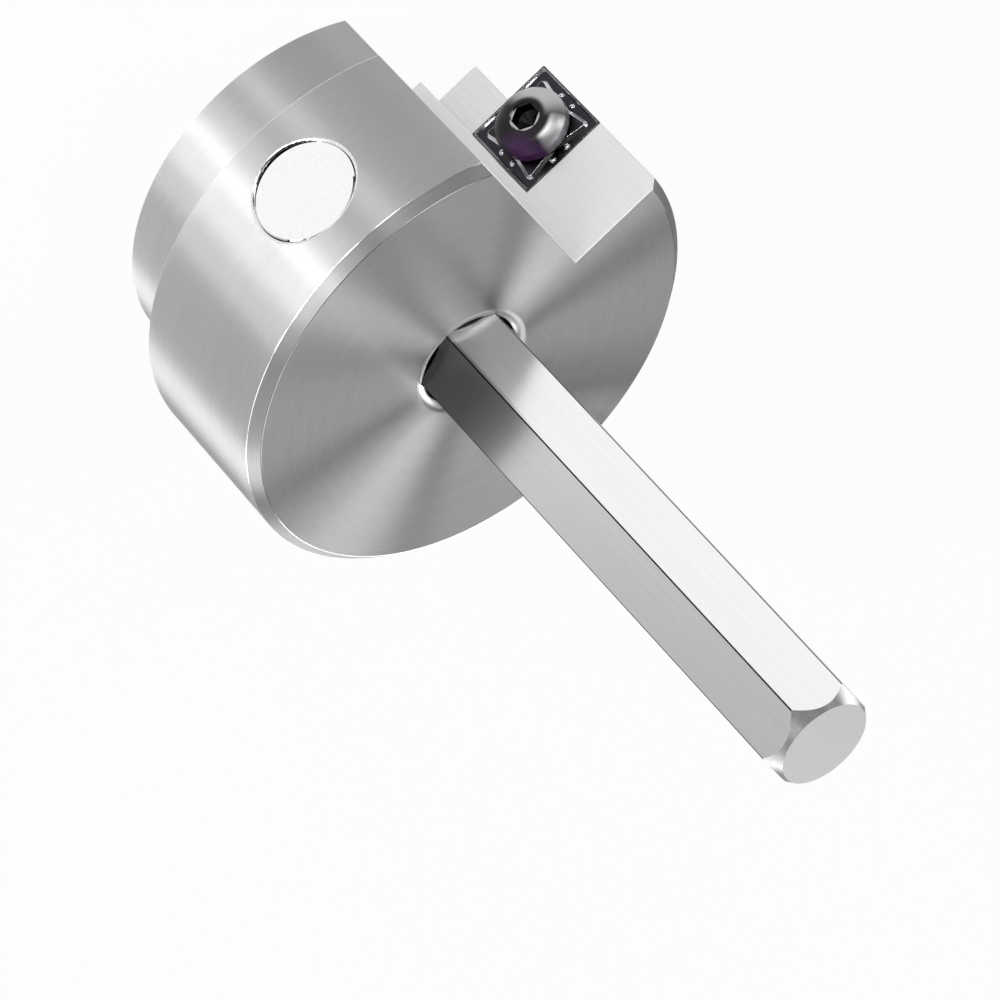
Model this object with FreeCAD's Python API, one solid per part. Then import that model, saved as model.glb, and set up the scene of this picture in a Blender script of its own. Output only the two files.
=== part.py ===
import FreeCAD, Part
import math
import os

# Pipe reamer with a turned steel head, a hexagonal drive shank and one indexable cutting insert.
# Millimetres. +Z runs along the shank, z = 0 is the end face of the pilot that enters the pipe.
# +X lies in the flat that the insert is sunk into, +Y is the normal of that flat.

# Head
head_diameter = 48.26
head_length = 27.94
pilot_diameter = 40.0
pilot_length = 9.8
rim_chamfer = 1.0
edge_break = 0.2
deburr_radius = 0.12

# Chip gullet and insert pocket
pocket_strip_width = 1.25
rake_recess = 0.18
seat_clearance = 0.01

# Cutting insert
insert_width = 9.525
insert_thickness = 3.97
insert_corner_radius = 0.2
insert_relief_angle = 7.0
insert_hole_diameter = 4.4
insert_projection = 0.03
insert_overhang = 1.15

# Chip breaker moulded in the insert's rake face
land_width = 0.22
groove_depth = 0.25
groove_slope_width = 0.15
star_tip_reach = 4.0
star_waist_reach = 3.3
star_slope_width = 0.35
star_tip_radius = 0.6
star_rise = 0.05
pip_spacing = 1.8
pip_radius = 0.32
pip_height = 0.16
hub_radius = 3.1
hub_slope_width = 0.25
hub_rise = 0.46
hone_radius = 0.05

# Insert screw
thread_diameter = 4.0
thread_clearance = 0.03
screw_length = 10.0
screw_end_chamfer = 0.4
screw_head_diameter = 7.3
screw_head_height = 2.2
screw_flat_diameter = 3.2
screw_crown_rounding = 2.35
socket_width = 2.5
socket_depth = 1.3
socket_lead_in = 0.12
tapped_hole_spare_depth = 0.6
drill_point_angle = 118.0

# Shank
shank_width = 9.525
shank_length = 76.2
shank_corner_radius = 0.15
shank_taper_length = 1.6
shank_end_diameter = 9.0
socket_bore_depth = 20.85
shank_clearance = 0.024
bore_mouth_diameter = 12.2
bore_mouth_rounding = 1.4

# Lock pin
pin_diameter = 10.0
pin_setback = 9.74
pin_bite = 1.9
pin_end_recess = 0.4
pin_edge_break = 0.12
pin_clearance = 0.02
pin_rim_radius = 0.3

# Places worked out from the sizes above
head_radius = head_diameter / 2
pilot_radius = pilot_diameter / 2
pin_radius = pin_diameter / 2
insert_centre_x = head_radius + insert_projection - insert_width / 2
insert_centre_z = pilot_length - insert_overhang + insert_width / 2
pocket_wall_x = insert_centre_x - insert_width / 2 - seat_clearance
pocket_wall_z = insert_centre_z + insert_width / 2 + seat_clearance
pocket_floor_y = -rake_recess - insert_thickness
gullet_wall_x = pocket_wall_x - pocket_strip_width
hub_top_y = -rake_recess + hub_rise
bore_floor_z = head_length - socket_bore_depth
shank_top_z = bore_floor_z + shank_length
hex_corner_radius = shank_width / math.sqrt(3)
rounded_corner_radius = hex_corner_radius - shank_corner_radius * (2 / math.sqrt(3) - 1)
bore_mouth_radius = bore_mouth_diameter / 2
pin_height = head_length - pin_setback
pin_seat_y = hex_corner_radius - pin_bite
pin_top_y = head_radius - pin_end_recess

# How far a cutting tool runs on past the metal that it removes
overrun = 5.0

# How close two places are before they count as the same
touch = 0.001

along_x = FreeCAD.Vector(1, 0, 0)
along_y = FreeCAD.Vector(0, 1, 0)
along_z = FreeCAD.Vector(0, 0, 1)
origin = FreeCAD.Vector(0, 0, 0)


def turned(profile):
    """Solid of revolution about Z from (radius, height) points."""
    points = [FreeCAD.Vector(radius, 0, height) for radius, height in profile]
    face = Part.Face(Part.makePolygon(points + points[:1]))
    return face.revolve(origin, along_z, 360)


def box_between(low, high):
    size = [b - a for a, b in zip(low, high)]
    return Part.makeBox(size[0], size[1], size[2], FreeCAD.Vector(*low))


def hexagon(width, height, turn):
    """Hexagonal face across flats, with a corner at the given angle."""
    radius = width / math.sqrt(3)
    angles = [math.radians(turn + 60 * side) for side in range(6)]
    points = [FreeCAD.Vector(radius * math.cos(a), radius * math.sin(a), height) for a in angles]
    return Part.Face(Part.makePolygon(points + points[:1]))


def rounded_square(half, radius, height):
    """Closed wire of a square with rounded corners, centred on Z."""
    edges = []
    for quarter in range(4):
        spin = FreeCAD.Rotation(along_z, 90 * quarter)
        straight = [FreeCAD.Vector(half, radius - half, height), FreeCAD.Vector(half, half - radius, height)]
        edges.append(Part.LineSegment(spin.multVec(straight[0]), spin.multVec(straight[1])).toShape())
        middle = half - radius + radius * math.cos(math.radians(45))
        corner = [
            FreeCAD.Vector(half, half - radius, height),
            FreeCAD.Vector(middle, middle, height),
            FreeCAD.Vector(half - radius, half, height),
        ]
        edges.append(Part.Arc(*[spin.multVec(point) for point in corner]).toShape())
    return Part.Wire(edges)


def star(tip_reach, waist_reach, tip_radius, height):
    """Closed wire of the four-pointed star, with its rounded tips towards the insert's corners."""
    flank = math.atan2(tip_reach - waist_reach, tip_reach)
    half_angle = math.radians(45) - flank
    run = tip_radius / math.tan(half_angle)
    nose = tip_reach - (tip_radius / math.sin(half_angle) - tip_radius) * math.cos(math.radians(45))
    start = FreeCAD.Vector(tip_reach - run * math.sin(flank), tip_reach - run * math.cos(flank), height)
    edges = []
    for quarter in range(4):
        spin = FreeCAD.Rotation(along_z, 90 * quarter)
        waists = [FreeCAD.Vector(waist_reach, 0, height), FreeCAD.Vector(0, waist_reach, height)]
        tip = [start, FreeCAD.Vector(nose, nose, height), FreeCAD.Vector(start.y, start.x, height)]
        waists = [spin.multVec(point) for point in waists]
        tip = [spin.multVec(point) for point in tip]
        edges.append(Part.LineSegment(waists[0], tip[0]).toShape())
        edges.append(Part.Arc(*tip).toShape())
        edges.append(Part.LineSegment(tip[2], waists[1]).toShape())
    return Part.Wire(edges)


def edges_where(solid, test):
    """Edges whose points all pass the test."""
    edges = [edge for edge in solid.Edges if not edge.Degenerated]
    return [edge for edge in edges if all(test(point) for point in edge.discretize(7))]


def stand_in_flat(solid, y):
    """Turn a piece modelled along Z so that it points out of the flat, above the insert's centre."""
    placed = solid.copy()
    placed.rotate(origin, along_x, -90)
    placed.translate(FreeCAD.Vector(insert_centre_x, y, insert_centre_z))
    return placed


def pin_hole():
    """Flat-bottomed radial hole, drilled through the head's wall into the shank's corner."""
    radius = pin_radius + pin_clearance
    length = head_radius - pin_seat_y + overrun
    return Part.makeCylinder(radius, length, FreeCAD.Vector(0, pin_seat_y, pin_height), along_y)


def tapped_hole():
    """Blind hole for the insert screw, with the drill's point at its end."""
    radius = thread_diameter / 2 + thread_clearance
    depth = screw_length + tapped_hole_spare_depth
    point_length = radius / math.tan(math.radians(drill_point_angle / 2))
    drill = turned([(0, 0), (radius, 0), (radius, -depth), (0, -depth - point_length)])
    return stand_in_flat(drill, hub_top_y)


def shank_socket():
    """Broached hexagonal hole for the shank, with a mouth turned round that leads the bar in."""
    width = shank_width + 2 * shank_clearance
    hexagonal = hexagon(width, bore_floor_z, 30).extrude(FreeCAD.Vector(0, 0, socket_bore_depth + overrun))

    def on_rounding(angle):
        inwards = bore_mouth_rounding * math.sin(angle)
        drop = bore_mouth_rounding * (1 - math.cos(angle))
        return FreeCAD.Vector(bore_mouth_radius - inwards, 0, head_length - drop)

    quarter = math.pi / 2
    rounding = Part.Arc(on_rounding(quarter), on_rounding(quarter / 2), on_rounding(0)).toShape()
    outline = [
        (bore_mouth_radius, head_length),
        (bore_mouth_radius, head_length + overrun),
        (0, head_length + overrun),
        (0, head_length - bore_mouth_rounding),
        (bore_mouth_radius - bore_mouth_rounding, head_length - bore_mouth_rounding),
    ]
    straight = Part.makePolygon([FreeCAD.Vector(r, 0, z) for r, z in outline])
    mouth = Part.Face(Part.Wire([rounding] + straight.Edges)).revolve(origin, along_z, 360)
    return hexagonal.fuse(mouth)


def head_blank():
    """Bar turned to two diameters, with a chamfered rim and broken edges."""
    return turned([
        (0, 0),
        (pilot_radius - edge_break, 0),
        (pilot_radius, edge_break),
        (pilot_radius, pilot_length),
        (head_radius - edge_break, pilot_length),
        (head_radius, pilot_length + edge_break),
        (head_radius, head_length - rim_chamfer),
        (head_radius - rim_chamfer, head_length),
        (0, head_length),
    ])


def deburred(head):
    """Round the sharp outer edges that turning and milling leave, but not the inner corners."""

    def on_turned_edge(point):
        radius = math.hypot(point.x, point.y)
        on_rim = abs(radius + point.z - head_radius - head_length + rim_chamfer) < touch
        on_step = abs(radius - head_radius) < touch and abs(point.z - pilot_length - edge_break) < touch
        return on_rim or on_step

    def on_gullet_wall(point):
        return abs(point.x - gullet_wall_x) < touch

    def on_flat(point):
        return abs(point.y) < touch and point.x > gullet_wall_x - touch

    def on_pocket_floor(point):
        return abs(point.y - pocket_floor_y) < touch

    def in_corner(point):
        under_wall = abs(point.x - pocket_wall_x) < touch or abs(point.z - pocket_wall_z) < touch
        return (on_gullet_wall(point) and on_flat(point)) or (on_pocket_floor(point) and under_wall)

    def on_tapped_rim(point):
        return math.hypot(point.x - insert_centre_x, point.z - insert_centre_z) < thread_diameter

    outer = []
    for test in (on_turned_edge, on_gullet_wall, on_flat, on_pocket_floor):
        outer += edges_where(head, test)
    kept = edges_where(head, in_corner) + edges_where(head, on_tapped_rim)
    sharp = []
    for edge in outer:
        if not any(edge.isSame(other) for other in kept + sharp):
            sharp.append(edge)
    return head.makeFillet(deburr_radius, sharp)


def reamer_head():
    """Turned head with its milled gullet and pocket, shank socket, pin hole and tapped hole."""
    far = head_radius + overrun
    gullet = box_between((gullet_wall_x, 0, -overrun), (far, far, head_length + overrun))
    pocket = box_between((pocket_wall_x, pocket_floor_y, -overrun), (far, overrun, pocket_wall_z))
    head = head_blank().cut([gullet, pocket, shank_socket(), pin_hole(), tapped_hole()])

    def on_pin_rim(point):
        on_wall = abs(math.hypot(point.x, point.z - pin_height) - pin_radius - pin_clearance) < touch
        return on_wall and abs(math.hypot(point.x, point.y) - head_radius) < touch

    return deburred(head.makeFillet(pin_rim_radius, edges_where(head, on_pin_rim)))


def hex_shank():
    """Hexagonal bar with rounded corners, a turned end and the seat that the lock pin's hole leaves."""
    bar = hexagon(shank_width, bore_floor_z, 30).extrude(FreeCAD.Vector(0, 0, shank_length))

    def on_corner(point):
        return abs(math.hypot(point.x, point.y) - hex_corner_radius) < touch

    long_edges = [edge for edge in edges_where(bar, on_corner) if edge.Length > shank_width]
    bar = bar.makeFillet(shank_corner_radius, long_edges)
    end_radius = shank_end_diameter / 2
    envelope = turned([
        (0, bore_floor_z),
        (rounded_corner_radius - edge_break, bore_floor_z),
        (rounded_corner_radius + edge_break, bore_floor_z + 2 * edge_break),
        (rounded_corner_radius + edge_break, shank_top_z - shank_taper_length),
        (rounded_corner_radius, shank_top_z - shank_taper_length),
        (end_radius, shank_top_z),
        (0, shank_top_z),
    ])
    return bar.common(envelope).cut(pin_hole())


def lock_pin():
    """Plain round pin, flat at both ends, seated on the shank."""
    length = pin_top_y - pin_seat_y
    pin = turned([
        (0, 0),
        (pin_radius - pin_edge_break, 0),
        (pin_radius, pin_edge_break),
        (pin_radius, length - pin_edge_break),
        (pin_radius - pin_edge_break, length),
        (0, length),
    ])
    pin.rotate(origin, along_x, -90)
    pin.translate(FreeCAD.Vector(0, pin_seat_y, pin_height))
    return pin


def chip_groove():
    """Hollow inside the land, with sloped walls, in which the star stands."""
    half = insert_width / 2 - land_width
    return Part.makeLoft([
        rounded_square(half, insert_corner_radius, 0),
        rounded_square(half - groove_slope_width, insert_corner_radius, -groove_depth),
    ], True, True)


def chip_star():
    """Raised star and the hub that the screw's head bears on."""
    foot = star(star_tip_reach, star_waist_reach, star_tip_radius, -groove_depth)
    top_reaches = (star_tip_reach - star_slope_width, star_waist_reach - star_slope_width)
    top = star(*top_reaches, star_tip_radius - star_slope_width, star_rise)
    hub = turned([
        (0, -groove_depth),
        (hub_radius + hub_slope_width, -groove_depth),
        (hub_radius + hub_slope_width, star_rise),
        (hub_radius, hub_rise),
        (0, hub_rise),
    ])
    return Part.makeLoft([foot, top], True, True).fuse(hub)


def chip_pips():
    """Two small domes in the groove beside the middle of each edge."""
    dome_radius = (pip_radius ** 2 + pip_height ** 2) / (2 * pip_height)
    groove_outer = insert_width / 2 - land_width - groove_slope_width
    reach = (groove_outer + star_waist_reach) / 2
    pips = []
    for quarter in range(4):
        spin = FreeCAD.Rotation(along_z, 90 * quarter)
        for side in (-1, 1):
            place = FreeCAD.Vector(reach, side * pip_spacing / 2, -groove_depth + pip_height - dome_radius)
            pips.append(Part.makeSphere(dome_radius, spin.multVec(place)))
    return pips


def carbide_insert():
    """Square insert with relief on its flanks, a clearance hole and the moulded chip breaker."""
    base_half = insert_width / 2 - insert_thickness * math.tan(math.radians(insert_relief_angle))
    blank = Part.makeLoft([
        rounded_square(base_half, insert_corner_radius, -insert_thickness),
        rounded_square(insert_width / 2, insert_corner_radius, 0),
    ], True, True)
    hole = Part.makeCylinder(
        insert_hole_diameter / 2,
        insert_thickness + hub_rise + 2 * overrun,
        FreeCAD.Vector(0, 0, -insert_thickness - overrun),
    )
    pips = [blank.common(pip) for pip in chip_pips()]
    insert = blank.cut(chip_groove()).fuse([chip_star()] + pips).cut(hole).removeSplitter()

    def on_honed_edge(point):
        return min(abs(point.z - level) for level in (0, star_rise, hub_rise)) < touch

    insert = insert.makeFillet(hone_radius, edges_where(insert, on_honed_edge))
    return stand_in_flat(insert, -rake_recess)


def insert_screw():
    """Button-head socket screw, its head modelled above z = 0 and its thread below."""
    radius = thread_diameter / 2
    crown_radius = screw_head_diameter / 2
    flat_radius = screw_flat_diameter / 2
    lean = math.asin((crown_radius - flat_radius) / screw_crown_rounding)

    def on_crown(angle):
        outwards = screw_crown_rounding * math.sin(angle)
        drop = screw_crown_rounding * (1 - math.cos(angle))
        return FreeCAD.Vector(flat_radius + outwards, 0, screw_head_height - drop)

    rim_height = on_crown(lean).z
    crown = Part.Arc(on_crown(lean), on_crown(lean / 2), on_crown(0)).toShape()
    outline = [
        (flat_radius, screw_head_height),
        (0, screw_head_height),
        (0, -screw_length),
        (radius - screw_end_chamfer, -screw_length),
        (radius, screw_end_chamfer - screw_length),
        (radius, 0),
        (crown_radius, 0),
        (crown_radius, rim_height),
    ]
    straight = Part.makePolygon([FreeCAD.Vector(r, 0, z) for r, z in outline])
    screw = Part.Face(Part.Wire([crown] + straight.Edges)).revolve(origin, along_z, 360)
    socket_floor = screw_head_height - socket_depth
    socket = hexagon(socket_width, socket_floor, 90).extrude(FreeCAD.Vector(0, 0, socket_depth + overrun))
    socket_corner = socket_width / math.sqrt(3)
    lead_in = turned([
        (0, screw_head_height - socket_lead_in),
        (socket_corner, screw_head_height - socket_lead_in),
        (socket_corner + 2 * socket_lead_in, screw_head_height + socket_lead_in),
        (0, screw_head_height + socket_lead_in),
    ])
    drill_point = turned([
        (0, socket_floor - socket_corner / math.tan(math.radians(drill_point_angle / 2))),
        (socket_width / 2, socket_floor),
        (0, socket_floor),
    ])
    return stand_in_flat(screw.cut([socket, lead_in, drill_point]), hub_top_y)


def main():
    os.makedirs("parts", exist_ok=True)
    pieces = {
        "reamer_head": reamer_head(),
        "hex_shank": hex_shank(),
        "lock_pin": lock_pin(),
        "carbide_insert": carbide_insert(),
        "insert_screw": insert_screw(),
    }
    for name, shape in pieces.items():
        print(name, len(shape.Solids), "solid", shape.isValid(), round(shape.Volume, 2), "mm3")
        shape.exportStep("parts/" + name + ".step")


main()
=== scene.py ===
import math

import bpy
from mathutils import Matrix, Vector
from mathutils.kdtree import KDTree


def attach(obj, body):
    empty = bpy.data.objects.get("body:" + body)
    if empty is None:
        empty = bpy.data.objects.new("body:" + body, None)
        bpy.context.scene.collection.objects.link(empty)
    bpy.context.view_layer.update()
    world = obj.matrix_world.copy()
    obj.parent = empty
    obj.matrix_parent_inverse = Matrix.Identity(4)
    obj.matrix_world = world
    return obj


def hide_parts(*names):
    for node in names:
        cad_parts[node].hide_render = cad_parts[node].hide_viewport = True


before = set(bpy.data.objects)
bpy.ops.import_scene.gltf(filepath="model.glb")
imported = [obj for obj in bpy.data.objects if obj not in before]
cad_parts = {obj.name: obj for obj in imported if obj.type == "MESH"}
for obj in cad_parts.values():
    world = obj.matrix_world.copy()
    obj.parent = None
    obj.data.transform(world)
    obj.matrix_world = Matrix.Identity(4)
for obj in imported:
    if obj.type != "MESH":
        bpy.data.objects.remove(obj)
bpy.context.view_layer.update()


# Reamer head
# One bar of tool steel, turned to two diameters, then milled for the chip gullet and the insert's
# pocket. The lathe leaves fine rings, which spread a light across them; the mill leaves satin flats.

MM = 0.001
hair = 0.001 * MM
gullet_wall_x = 13.375 * MM
pocket_wall_x = 14.625 * MM
pocket_wall_z = 18.185 * MM
pocket_floor_y = -4.15 * MM
pocket_play = 0.01 * MM
edge_rounding = 0.13 * MM
socket_mouth_radius = 6.12 * MM
socket_dark_below = 27.5 * MM
pin_axis_z = 18.2 * MM
pin_rim_radius = 5.3 * MM
pin_wall_slope = 0.3
flat_on = 0.9995
round_on = 0.99
chamfer_slope = 0.7071
chamfer_play = 0.02

# The lathe's rings and the cutter's lines are about 0.05 mm apart on the real tool. That is too fine
# to show, so both are drawn coarser here.
ring_pitch = 0.15 * MM
ring_breaks = 9.0
ring_relief = 0.0003 * MM
feed_mark_pitch = 1.1 * MM
feed_mark_breaks = 0.7
feed_mark_share = 0.35
cutter_line_pitch = 0.12 * MM
cutter_sweep = 6 * MM
scuff_size = 0.4 * MM
shade_mottle_size = 0.8 * MM
marks_low = 0.25
marks_high = 0.75
tone_low = 0.35
tone_high = 0.65
quarter_turn = 0.25


def linear(hex_colour):
    """Linear RGBA of an sRGB hex colour."""
    channels = [int(hex_colour[i:i + 2], 16) / 255 for i in (1, 3, 5)]
    return [c / 12.92 if c <= 0.04045 else ((c + 0.055) / 1.055) ** 2.4 for c in channels] + [1.0]


def node(tree, kind, settings=None, links=None):
    """Add a node of a kind, with its property and socket settings and the outputs linked to its sockets."""
    made = tree.nodes.new(kind)
    for name, value in (settings or {}).items():
        if isinstance(name, str) and hasattr(made, name):
            setattr(made, name, value)
        else:
            made.inputs[name].default_value = value
    for name, output in (links or {}).items():
        tree.links.new(output, made.inputs[name])
    return made


def new_material(name):
    """Empty material with its node tree and output node."""
    material = bpy.data.materials.new(name)
    material.use_nodes = True
    material.node_tree.nodes.clear()
    return material, material.node_tree, node(material.node_tree, "ShaderNodeOutputMaterial")


def metal(name, colours, roughness, pattern, relief, **extras):
    """Metal whose tone, roughness and fine relief follow a pattern; pattern(tree) gives its output."""
    material, tree, output = new_material(name)
    marks = pattern(tree)
    rough = node(tree, "ShaderNodeMapRange",
                 {"From Min": marks_low, "From Max": marks_high, "To Min": roughness[0],
                  "To Max": roughness[1]}, {"Value": marks})
    bump = node(tree, "ShaderNodeBump", {"Strength": 1.0, "Distance": relief}, {"Height": marks})
    tone = node(tree, "ShaderNodeMapRange", {"From Min": tone_low, "From Max": tone_high}, {"Value": marks})
    shade = node(tree, "ShaderNodeMix", {"data_type": "RGBA", 6: linear(colours[0]), 7: linear(colours[1])},
                 {0: tone.outputs[0]})
    steel = node(tree, "ShaderNodeBsdfPrincipled", {"Metallic": 1.0},
                 {"Base Color": shade.outputs[2], "Roughness": rough.outputs[0], "Normal": bump.outputs[0]})
    for socket, value in extras.items():
        steel.inputs[socket.replace("_", " ")].default_value = value
    tree.links.new(steel.outputs[0], output.inputs["Surface"])
    return material, tree, steel


def stretched_noise(tree, pitches, detail=3.0):
    """Noise with its own pitch along each axis of the part."""
    place = node(tree, "ShaderNodeTexCoord").outputs["Object"]
    scaled = node(tree, "ShaderNodeVectorMath",
                  {"operation": "MULTIPLY", 1: [1 / pitch for pitch in pitches]}, {0: place})
    return node(tree, "ShaderNodeTexNoise", {"Scale": 1.0, "Detail": detail},
                {"Vector": scaled.outputs[0]}).outputs["Fac"]


def lathe_rings(tree):
    """Fine rings round the part's axis with broader feed marks, on round and on end faces alike."""
    place = node(tree, "ShaderNodeTexCoord").outputs["Object"]
    split = node(tree, "ShaderNodeSeparateXYZ", links={0: place})
    across = node(tree, "ShaderNodeCombineXYZ", links={0: split.outputs[0], 1: split.outputs[1]})
    radius = node(tree, "ShaderNodeVectorMath", {"operation": "LENGTH"}, {0: across.outputs[0]})
    turn = node(tree, "ShaderNodeVectorMath", {"operation": "NORMALIZE"}, {0: across.outputs[0]})
    level = node(tree, "ShaderNodeCombineXYZ", links={0: radius.outputs["Value"], 1: split.outputs[2]})
    layers = []
    for pitch, breaks in ((ring_pitch, ring_breaks), (feed_mark_pitch, feed_mark_breaks)):
        rings = node(tree, "ShaderNodeVectorMath", {"operation": "SCALE", "Scale": 1 / pitch},
                     {0: level.outputs[0]})
        arcs = node(tree, "ShaderNodeVectorMath", {"operation": "SCALE", "Scale": breaks},
                    {0: turn.outputs[0]})
        spot = node(tree, "ShaderNodeVectorMath", {"operation": "ADD"},
                    {0: rings.outputs[0], 1: arcs.outputs[0]})
        noise = node(tree, "ShaderNodeTexNoise", {"Scale": 1.0, "Detail": 2.0}, {"Vector": spot.outputs[0]})
        layers.append(noise.outputs["Fac"])
    return node(tree, "ShaderNodeMix", {0: feed_mark_share}, {2: layers[0], 3: layers[1]}).outputs[0]


def turned_steel(name, colours, roughness, stretch):
    """Turned tool steel: each light is drawn out across the rings, into a streak or a band."""
    material, tree, steel = metal(name, colours, roughness, lathe_rings, ring_relief,
                                  Anisotropic=stretch, Anisotropic_Rotation=quarter_turn)
    tangent = node(tree, "ShaderNodeTangent", {"direction_type": "RADIAL", "axis": "Z"})
    tree.links.new(tangent.outputs[0], steel.inputs["Tangent"])
    return material


def milled_steel():
    """Milled tool steel: even satin with the cutter's fine straight lines."""
    def cutter_lines(tree):
        return stretched_noise(tree, (cutter_line_pitch, cutter_line_pitch, cutter_sweep))
    return metal("milled_tool_steel", ("#dedede", "#e4e4e4"), (0.36, 0.42), cutter_lines, 0.0005 * MM)[0]


def rounded_edge_steel():
    """The same steel where its edges were rounded by hand: smooth and bright, so they catch the light."""
    def scuffs(tree):
        return stretched_noise(tree, (scuff_size, scuff_size, scuff_size))
    return metal("deburred_tool_steel", ("#e2e2e2", "#f0f0f0"), (0.12, 0.2), scuffs, 0.0002 * MM)[0]


def hollow_shade_steel():
    """Inside of the holes: painted shade, a dark mottled steel for the shade deep in them."""
    def shade_mottle(tree):
        return stretched_noise(tree, (shade_mottle_size, shade_mottle_size, shade_mottle_size))
    return metal("painted_shade_tool_steel", ("#2c2a28", "#444240"), (0.3, 0.42), shade_mottle, 0.0005 * MM)[0]


def keep_shading(mesh, source):
    """Give each corner of a merged mesh the smooth normal of the same corner in its source."""
    tree = KDTree(len(source.polygons))
    for face in source.polygons:
        tree.insert(face.center, face.index)
    tree.balance()
    normals = [None] * len(mesh.loops)
    for face in mesh.polygons:
        twin = source.polygons[tree.find(face.center)[1]]
        for corner, vertex in zip(face.loop_indices, face.vertices):
            place = mesh.vertices[vertex].co
            near = min(twin.loop_indices,
                       key=lambda c: (source.vertices[source.loops[c].vertex_index].co - place).length)
            normals[corner] = source.corner_normals[near].vector.copy()
    mesh.normals_split_custom_set(normals)


def fresh_copy(name, piece_name, materials):
    """Piece with a CAD node's faces, merged into one skin, which shows in that node's place."""
    bpy.ops.object.select_all(action="DESELECT")
    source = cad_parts[name]
    piece = bpy.data.objects.new(piece_name, source.data.copy())
    bpy.context.scene.collection.objects.link(piece)
    piece.select_set(True)
    bpy.context.view_layer.objects.active = piece
    bpy.ops.object.mode_set(mode="EDIT")
    bpy.ops.mesh.select_all(action="SELECT")
    bpy.ops.mesh.remove_doubles(threshold=hair)
    bpy.ops.object.mode_set(mode="OBJECT")
    keep_shading(piece.data, source.data)
    piece.data.materials.clear()
    for material in materials:
        piece.data.materials.append(material)
    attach(piece, "root")
    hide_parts(name)
    return piece


turned, milled, rounded, chamfered, faced, shaded_hollow = range(6)


def head_finish(face):
    """Which finish a face of the head has, by its place and the way it looks."""
    x, y, z = face.center
    normal = face.normal
    outwards = normal.dot(Vector((x, y, 0)).normalized())
    on_face = abs(normal.z) > flat_on
    # Socket walls below the mouth and the pin hole's wall take the painted shade.
    if math.hypot(x, y) < socket_mouth_radius and not on_face:
        return milled if z > socket_dark_below else shaded_hollow
    if y > 0 and math.hypot(x, z - pin_axis_z) < pin_rim_radius:
        return shaded_hollow if abs(normal.y) < pin_wall_slope else rounded
    in_gullet = x > gullet_wall_x - hair and y > pocket_floor_y - hair
    on_gullet_wall = normal.x > flat_on and x < pocket_wall_x + pocket_play
    on_pocket_wall = normal.z < -flat_on and abs(z - pocket_wall_z) < pocket_play
    if in_gullet and (on_gullet_wall or on_pocket_wall or normal.y > flat_on):
        return milled
    if abs(abs(normal.z) - chamfer_slope) < chamfer_play and abs(outwards - chamfer_slope) < chamfer_play:
        return chamfered
    if normal.z > flat_on:
        return faced
    if on_face or abs(outwards) > round_on:
        return turned
    by_gullet = x > gullet_wall_x - edge_rounding and y > pocket_floor_y - edge_rounding
    return milled if by_gullet else rounded


head = fresh_copy("reamer_head", "turned_head", [
    turned_steel("turned_tool_steel", ("#bdbdbd", "#c6c6c6"), (0.44, 0.5), stretch=0.95),
    milled_steel(),
    rounded_edge_steel(),
    turned_steel("chamfered_tool_steel", ("#bfbfbf", "#c8c8c8"), (0.5, 0.56), stretch=0.98),
    turned_steel("faced_tool_steel", ("#c8c8c8", "#d2d2d2"), (0.5, 0.56), stretch=0.95),
    hollow_shade_steel(),
])
for face in head.data.polygons:
    face.material_index = head_finish(face)


# Hexagonal shank
# Cold-drawn hexagonal steel bar with polished flats, its driven end turned to a taper and faced.
# The bar's rounded corners are drawn dark, a painted shade for the dark reflection along them. One flat
# is darker near the socket, a painted shade for the head's face mirrored in it.

# The drawing die's lines and the cloth's lines are finer on the real bar, and are drawn coarser.
draw_line_pitch = 0.14 * MM
draw_line_length = 25 * MM
cloth_line_pitch = 0.08 * MM
cloth_line_length = 0.48 * MM
corner_streak_width = 0.2 * MM
corner_streak_length = 3 * MM
flats_apart = 60
flat_play = 1.5
shank_taper_z = 81.68 * MM
upright = 0.01
shaded_flat = math.radians(120)
shade_full_below = 32 * MM
shade_gone_above = 44 * MM
shade_side_from = 4.3 * MM
shade_side_to = 4.7 * MM


def polished_steel():
    """Polished drawn bar: a soft mirror, with faint lines along its length and painted shade on one flat."""
    def draw_lines(tree):
        return stretched_noise(tree, (draw_line_pitch, draw_line_pitch, draw_line_length))
    material, tree, steel = metal("polished_drawn_steel", ("#f3f3f3", "#f8f8f8"), (0.18, 0.22),
                                  draw_lines, 0.0001 * MM)
    # Painted shade: one flat is darker towards the socket, for the head's face mirrored in it.
    place = node(tree, "ShaderNodeTexCoord").outputs["Object"]
    height = node(tree, "ShaderNodeSeparateXYZ", links={0: place}).outputs[2]
    low = node(tree, "ShaderNodeMapRange",
               {"interpolation_type": "SMOOTHSTEP", "From Min": shade_full_below, "From Max": shade_gone_above,
                "To Min": 1.0, "To Max": 0.0}, {"Value": height})
    towards = node(tree, "ShaderNodeVectorMath",
                   {"operation": "DOT_PRODUCT", 1: (math.cos(shaded_flat), math.sin(shaded_flat), 0)},
                   {0: place})
    aside = node(tree, "ShaderNodeMapRange", {"From Min": shade_side_from, "From Max": shade_side_to},
                 {"Value": towards.outputs["Value"]})
    painted_shade_mask = node(tree, "ShaderNodeMath", {"operation": "MULTIPLY"}, {0: low.outputs[0], 1: aside.outputs[0]})
    clean = steel.inputs["Base Color"].links[0].from_socket
    shade = node(tree, "ShaderNodeMix", {"data_type": "RGBA", 7: linear("#a09e9c")},
                 {0: painted_shade_mask.outputs[0], 6: clean})
    tree.links.new(shade.outputs[2], steel.inputs["Base Color"])
    return material


def dark_corner_paint():
    """Dark streaked steel on the bar's corners: painted shade for the dark reflection along their rounding.
    """
    def corner_streaks(tree):
        return stretched_noise(tree, (corner_streak_width, corner_streak_width, corner_streak_length))
    return metal("painted_dark_corner_steel", ("#1c1c1e", "#303032"), (0.3, 0.4), corner_streaks, 0.0002 * MM)[0]


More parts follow.
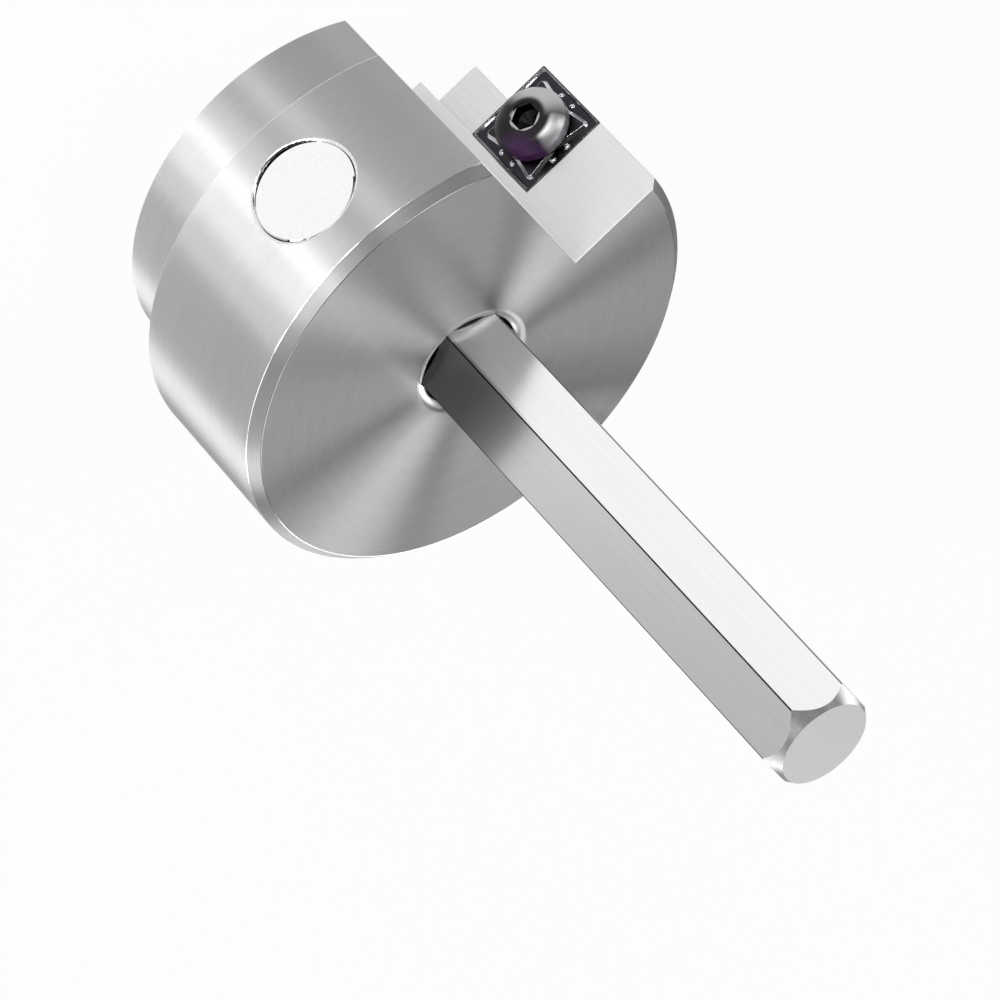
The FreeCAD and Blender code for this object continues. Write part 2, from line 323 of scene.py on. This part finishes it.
def tapered_steel():
    """Taper polished with cloth in the lathe: it blurs what it mirrors."""
    def cloth_lines(tree):
        return stretched_noise(tree, (cloth_line_length, cloth_line_length, cloth_line_pitch))
    return metal("cloth_polished_steel", ("#8a8a8a", "#969696"), (0.34, 0.42), cloth_lines, 0.0002 * MM)[0]


# Finishes of the bar; the dark corners carry painted shade.
polished, drawn, tapered = range(3)


def bar_finish(face):
    """Which finish a face of the bar has: polished flats and end, dark corners or the taper."""
    normal = face.normal
    if normal.z > upright:
        return tapered if normal.z < flat_on and face.center.z > shank_taper_z else polished
    turn = math.degrees(math.atan2(normal.y, normal.x)) % flats_apart
    on_corner = min(turn, flats_apart - turn) > flat_play
    # The corners' faces take the painted shade.
    return drawn if abs(normal.z) < upright and on_corner else polished


shank = fresh_copy("hex_shank", "drive_shank", [polished_steel(), dark_corner_paint(), tapered_steel()])
for face in shank.data.polygons:
    face.material_index = bar_finish(face)


# Lock pin
# Round ground pin of bearing steel, pressed in from the side against the shank, its end lapped.

lapping_grain = 0.3 * MM


def lapped_steel():
    """Ground and lapped pin end: a clean mirror with a trace of haze."""
    def haze(tree):
        return stretched_noise(tree, (lapping_grain, lapping_grain, lapping_grain))
    return metal("lapped_bearing_steel", ("#f6f6f6", "#fbfbfb"), (0.05, 0.1), haze, 0.00005 * MM)[0]


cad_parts["lock_pin"].material_slots[0].material = lapped_steel()


# Cutting insert
# Pressed and sintered carbide with a dark vapour-deposited coating, dull on its flats. The honed
# edges and the moulded slopes of the chip breaker are bright, a painted highlight for their glints.

# A sintered grain is about a hundredth of this and can't show, so the grain is drawn coarser.
sinter_grain = 0.05 * MM
rake_y = -0.18 * MM
rake_relief = 0.3 * MM
slope_from = 0.12
slope_to = 0.985


def grain(tree):
    """Fine even grain of the pressed powder."""
    return stretched_noise(tree, (sinter_grain, sinter_grain, sinter_grain))


def insert_coating():
    """Coated carbide flat: near black, faintly violet, with the fine grain of the sintered blank."""
    return metal("coated_carbide", ("#29272a", "#434045"), (0.25, 0.36), grain, 0.0015 * MM)[0]


def highlight_coating():
    """Bright metal on edges and slopes: painted highlight for the glints along the chip breaker."""
    return metal("painted_highlight_carbide", ("#cbc8cd", "#e9e7ea"), (0.14, 0.22), grain, 0.0004 * MM)[0]


insert = fresh_copy("carbide_insert", "cutting_insert", [insert_coating(), highlight_coating()])
# Honed edges and slopes of the chip breaker take the painted highlight.
for face in insert.data.polygons:
    on_rake = abs(face.center.y - rake_y) < rake_relief
    face.material_index = 1 if on_rake and slope_from < face.normal.y < slope_to else 0


# Insert screw
# Button-head screw of alloy steel with a hexagonal socket, blackened in hot oil and salts. Part of its
# crown is bright steel: a painted sheen, and on one side a brighter painted highlight.

oxide_cloud = 3.0 * MM
oxide_grain = 0.12 * MM
oxide_relief = 0.0006 * MM
screw_centre_x = 19.3975 * MM
screw_centre_z = 13.4125 * MM
screw_top_y = 2.48 * MM
thin_side = (-0.64, 0, 0.77)
thin_from = 0.9 * MM
thin_to = 3.3 * MM
cloud_low = 0.3
cloud_high = 0.5
sheen_side = (0.906, 0, -0.423)
sheen_share = 0.6
highlight_side = (0.34, 0, 0.94)
highlight_roughness = 0.1
socket_edge_depth = 0.13 * MM
socket_edge_reach = 1.6 * MM
socket_edge_slope = 0.1
glint_side_x = 0.4 * MM
glint_side_z = 0.6 * MM


def painted_highlight_patch(tree, from_axis, side, radii, cosines):
    """How much painted highlight: it rises outwards between two radii and towards one side."""
    outwards = node(tree, "ShaderNodeVectorMath", {"operation": "LENGTH"}, {0: from_axis})
    turn = node(tree, "ShaderNodeVectorMath", {"operation": "NORMALIZE"}, {0: from_axis})
    towards = node(tree, "ShaderNodeVectorMath", {"operation": "DOT_PRODUCT", 1: side}, {0: turn.outputs[0]})
    ring = node(tree, "ShaderNodeMapRange",
                {"interpolation_type": "SMOOTHSTEP", "From Min": radii[0], "From Max": radii[1]},
                {"Value": outwards.outputs["Value"]})
    arc = node(tree, "ShaderNodeMapRange",
               {"interpolation_type": "SMOOTHSTEP", "From Min": cosines[0], "From Max": cosines[1]},
               {"Value": towards.outputs["Value"]})
    brightness = node(tree, "ShaderNodeMath", {"operation": "MULTIPLY"}, {0: ring.outputs[0], 1: arc.outputs[0]})
    return brightness.outputs[0]


def black_oxide():
    """Oiled black oxide, violet on the side where it is thin, with painted highlight and sheen in bright
    steel.
    """
    material, tree, output = new_material("black_oxide_steel")
    clouds = stretched_noise(tree, (oxide_cloud, oxide_cloud, oxide_cloud), 1.0)
    speckle = stretched_noise(tree, (oxide_grain, oxide_grain, oxide_grain))
    place = node(tree, "ShaderNodeTexCoord").outputs["Object"]
    from_centre = node(tree, "ShaderNodeVectorMath",
                       {"operation": "SUBTRACT", 1: (screw_centre_x, 0, screw_centre_z)}, {0: place})
    from_axis = node(tree, "ShaderNodeVectorMath", {"operation": "MULTIPLY", 1: (1, 0, 1)},
                     {0: from_centre.outputs[0]}).outputs[0]
    # Painted sheen round part of the crown and a painted highlight on one side, as bright metal.
    painted_sheen = painted_highlight_patch(tree, from_axis, sheen_side, (1.75 * MM, 2.3 * MM), (0.2, 0.95))
    painted_sheen = node(tree, "ShaderNodeMath", {"operation": "MULTIPLY", 1: sheen_share},
                       {0: painted_sheen}).outputs[0]
    painted_highlight = painted_highlight_patch(tree, from_axis, highlight_side, (2.3 * MM, 2.8 * MM), (0.8, 0.99))
    painted_bright = node(tree, "ShaderNodeMath", {"operation": "MAXIMUM"}, {0: painted_sheen, 1: painted_highlight}).outputs[0]
    aside = node(tree, "ShaderNodeVectorMath", {"operation": "DOT_PRODUCT", 1: thin_side},
                 {0: from_centre.outputs[0]})
    low = node(tree, "ShaderNodeMapRange",
               {"interpolation_type": "SMOOTHSTEP", "From Min": thin_from, "From Max": thin_to},
               {"Value": aside.outputs["Value"]})
    thin = node(tree, "ShaderNodeMapRange", {"From Min": cloud_low, "From Max": cloud_high},
                {"Value": clouds})
    tint = node(tree, "ShaderNodeMath", {"operation": "MULTIPLY"}, {0: low.outputs[0], 1: thin.outputs[0]})
    oxide = node(tree, "ShaderNodeMix", {"data_type": "RGBA", 6: linear("#0a090b"), 7: linear("#53305d")},
                 {0: tint.outputs[0]})
    shade = node(tree, "ShaderNodeMix", {"data_type": "RGBA", 7: linear("#e4e4e6")},
                 {0: painted_bright, 6: oxide.outputs[2]})
    rough = node(tree, "ShaderNodeMapRange", {"To Min": 0.24, "To Max": 0.36}, {"Value": speckle})
    rough = node(tree, "ShaderNodeMath", {"operation": "MULTIPLY_ADD", 1: highlight_roughness},
                 {0: painted_highlight, 2: rough.outputs[0]})
    bump = node(tree, "ShaderNodeBump", {"Strength": 1.0, "Distance": oxide_relief}, {"Height": speckle})
    steel = node(tree, "ShaderNodeBsdfPrincipled", {"Specular IOR Level": 0.3},
                 {"Base Color": shade.outputs[2], "Metallic": painted_bright, "Roughness": rough.outputs[0],
                  "Normal": bump.outputs[0]})
    tree.links.new(steel.outputs[0], output.inputs["Surface"])
    return material


def socket_edge_highlight():
    """Bright steel on one side of the socket's edge: a painted highlight."""
    return metal("painted_highlight_socket_edge", ("#a4a2a6", "#c6c4c8"), (0.16, 0.26), grain, 0.0002 * MM)[0]


screw = fresh_copy("insert_screw", "button_screw", [black_oxide(), socket_edge_highlight()])
for face in screw.data.polygons:
    x, y, z = face.center
    near_axis = math.hypot(x - screw_centre_x, z - screw_centre_z) < socket_edge_reach
    at_edge = screw_top_y - socket_edge_depth < y < screw_top_y - hair and face.normal.y > socket_edge_slope
    # Only the socket edge on one side takes the painted highlight.
    on_glint_side = x < screw_centre_x - glint_side_x or z > screw_centre_z + glint_side_z
    face.material_index = 1 if near_axis and at_edge and on_glint_side else 0


# Studio
# A plain pale floor that the tool stands on, soft lamps round it and the camera above it.

floor_size = 6.0
floor_share_seen = 0.95
floor_share_mirrored = 0.8
floor_dim = 0.45
floor_bright = 1.075
bright_side = math.radians(40)
dim_until = -50 * MM
bright_from = 20 * MM
room_strength = 0.03


def pale_floor():
    """Pale floor, white to the eye and in the metal, dimmer there on its far side, with the tool's shadow."""
    material, tree, output = new_material("studio_floor_white")
    path = node(tree, "ShaderNodeLightPath")
    seen = node(tree, "ShaderNodeMath", {"operation": "MULTIPLY", 1: floor_share_seen},
                {0: path.outputs["Is Camera Ray"]})
    mirrored = node(tree, "ShaderNodeMath", {"operation": "MAXIMUM"},
                    {0: path.outputs["Is Glossy Ray"], 1: path.outputs["Is Transmission Ray"]})
    mirrored = node(tree, "ShaderNodeMath", {"operation": "MULTIPLY", 1: floor_share_mirrored},
                    {0: mirrored.outputs[0]})
    share = node(tree, "ShaderNodeMath", {"operation": "MAXIMUM"},
                 {0: seen.outputs[0], 1: mirrored.outputs[0]})
    place = node(tree, "ShaderNodeTexCoord").outputs["Object"]
    along = node(tree, "ShaderNodeVectorMath",
                 {"operation": "DOT_PRODUCT", 1: (math.cos(bright_side), math.sin(bright_side), 0)},
                 {0: place})
    ramp = node(tree, "ShaderNodeMapRange",
                {"interpolation_type": "SMOOTHSTEP", "From Min": dim_until, "From Max": bright_from,
                 "To Min": floor_dim, "To Max": floor_bright}, {"Value": along.outputs["Value"]})
    strength = node(tree, "ShaderNodeMix", {3: 1.0}, {0: path.outputs["Is Camera Ray"], 2: ramp.outputs[0]})
    paint = node(tree, "ShaderNodeBsdfDiffuse", {"Color": linear("#f4f4f4")})
    glow = node(tree, "ShaderNodeEmission", {"Color": linear("#ffffff")}, {"Strength": strength.outputs[0]})
    mix = node(tree, "ShaderNodeMixShader", None,
               {0: share.outputs[0], 1: paint.outputs[0], 2: glow.outputs[0]})
    tree.links.new(mix.outputs[0], output.inputs["Surface"])
    return material


bpy.ops.object.select_all(action="DESELECT")
bpy.ops.mesh.primitive_plane_add(size=floor_size, location=(0, 0, 0))
floor = bpy.context.object
floor.name = "studio_floor"
floor.data.materials.append(pale_floor())

world = bpy.data.worlds.new("studio_room")
bpy.context.scene.world = world
world.use_nodes = True
world.node_tree.nodes["Background"].inputs["Color"].default_value = linear("#ffffff")
world.node_tree.nodes["Background"].inputs["Strength"].default_value = room_strength

lamp_distance = 1.2
lamp_aim = Vector((0, 0, 30 * MM))


def soft_lamp(name, azimuth, elevation, wide, high, watts):
    """Rectangular soft lamp that points at the tool's middle, its angles in degrees and sides in metres."""
    a, e = math.radians(azimuth), math.radians(elevation)
    towards = Vector((math.cos(e) * math.cos(a), math.cos(e) * math.sin(a), math.sin(e)))
    place = lamp_aim + lamp_distance * towards
    lamp = bpy.data.lights.new(name, "AREA")
    lamp.shape = "RECTANGLE"
    lamp.size = wide
    lamp.size_y = high
    lamp.energy = watts
    holder = bpy.data.objects.new(name, lamp)
    holder.location = place
    holder.rotation_euler = (place - lamp_aim).to_track_quat("Z", "Y").to_euler()
    bpy.context.scene.collection.objects.link(holder)


soft_lamp("key", 110, 14, 0.18, 0.18, 5.5)
soft_lamp("key_beside", 95, 14, 0.18, 0.18, 1.7)
soft_lamp("key_left", 125, 14, 0.18, 0.18, 3.6)
soft_lamp("low_left", 140, 5, 0.18, 0.18, 1.7)
soft_lamp("front", 75, 8, 0.2, 0.2, 1.7)
soft_lamp("left", 170, 13, 0.84, 0.42, 3.1)
soft_lamp("back_left", 200, 4, 0.42, 0.18, 4.5)
soft_lamp("back", 250, 12, 0.84, 0.42, 4.7)
soft_lamp("back_high", 240, 52, 0.42, 0.42, 0.9)
soft_lamp("back_middle", 262, 34, 0.42, 0.42, 0.32)
soft_lamp("right", 330, 12, 0.84, 0.42, 7.2)
soft_lamp("right_high", 20, 32, 0.42, 0.42, 1.4)
soft_lamp("above", 0, 74, 0.42, 0.42, 1.2)
soft_lamp("front_high", 60, 30, 0.6, 0.42, 1.0)

focal_pixels = 5280.1
picture_pixels = 1000
camera_place = Vector((0.010662, 0.401811, 0.309956))
camera_right = Vector((0.724193, -0.404614, 0.55842))
camera_up = Vector((0.688666, 0.382247, -0.616139))
camera_data = bpy.data.cameras.new("camera")
camera_data.sensor_width = 36.0
camera_data.lens = camera_data.sensor_width * focal_pixels / picture_pixels
camera_data.clip_start = 0.01
camera = bpy.data.objects.new("camera", camera_data)
camera_turn = Matrix((camera_right, camera_up, camera_right.cross(camera_up))).transposed().to_4x4()
camera.matrix_world = Matrix.Translation(camera_place) @ camera_turn
bpy.context.scene.collection.objects.link(camera)
bpy.context.scene.camera = camera
bpy.context.scene.view_settings.view_transform = "Standard"
